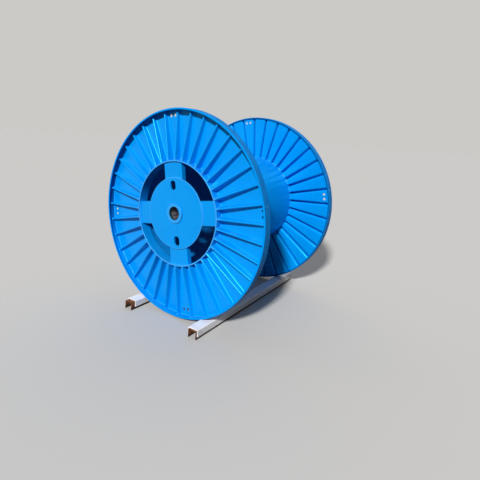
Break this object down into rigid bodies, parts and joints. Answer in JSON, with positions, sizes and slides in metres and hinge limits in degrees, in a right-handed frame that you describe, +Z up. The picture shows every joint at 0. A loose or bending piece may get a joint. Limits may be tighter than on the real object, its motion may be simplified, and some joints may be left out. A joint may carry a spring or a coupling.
{
  "type": "steel cable drum",
  "caption": "Steel cable drum with corrugated sheet flanges in channel rims, a tube barrel and spoked hubs with arbor bores, standing on two covered rails.",
  "frame": {"origin": "on the floor, straight below the middle of the drum; the bottom centre of the whole part's box", "axes": "+Z up, +Y along the drum's axis from the front flange to the back one, +X to the right as seen from the front"},
  "size_m": [1.5998, 1.45, 1.6132],
  "materials": {
    "blue_paint": "glossy azure enamel over welded steel sheet",
    "bushing_steel": "turned steel, painted blue outside, bare and stained in the bore",
    "white_paint": "satin white paint on the rail covers, scuffed at the edges",
    "rusty_steel": "bare channel steel, rusted brown all over"
  },
  "bodies": {
    "root": {"rim_front": "blue_paint", "rim_back": "blue_paint", "flange_sheet_front": "blue_paint", "flange_sheet_back": "blue_paint", "hub_ring_front": "blue_paint", "hub_ring_back": "blue_paint", "hub_disc_front": "blue_paint", "hub_disc_back": "blue_paint", "spoke_long_front": "blue_paint", "spoke_long_back": "blue_paint", "spoke_right_front": "blue_paint", "spoke_right_back": "blue_paint", "spoke_left_front": "blue_paint", "spoke_left_back": "blue_paint", "barrel": "blue_paint", "bushing_front": "bushing_steel", "bushing_back": "bushing_steel", "rail_left": "rusty_steel", "rail_right": "rusty_steel", "rail_cover_left": "white_paint", "rail_cover_right": "white_paint"}
  },
  "joints": []
}
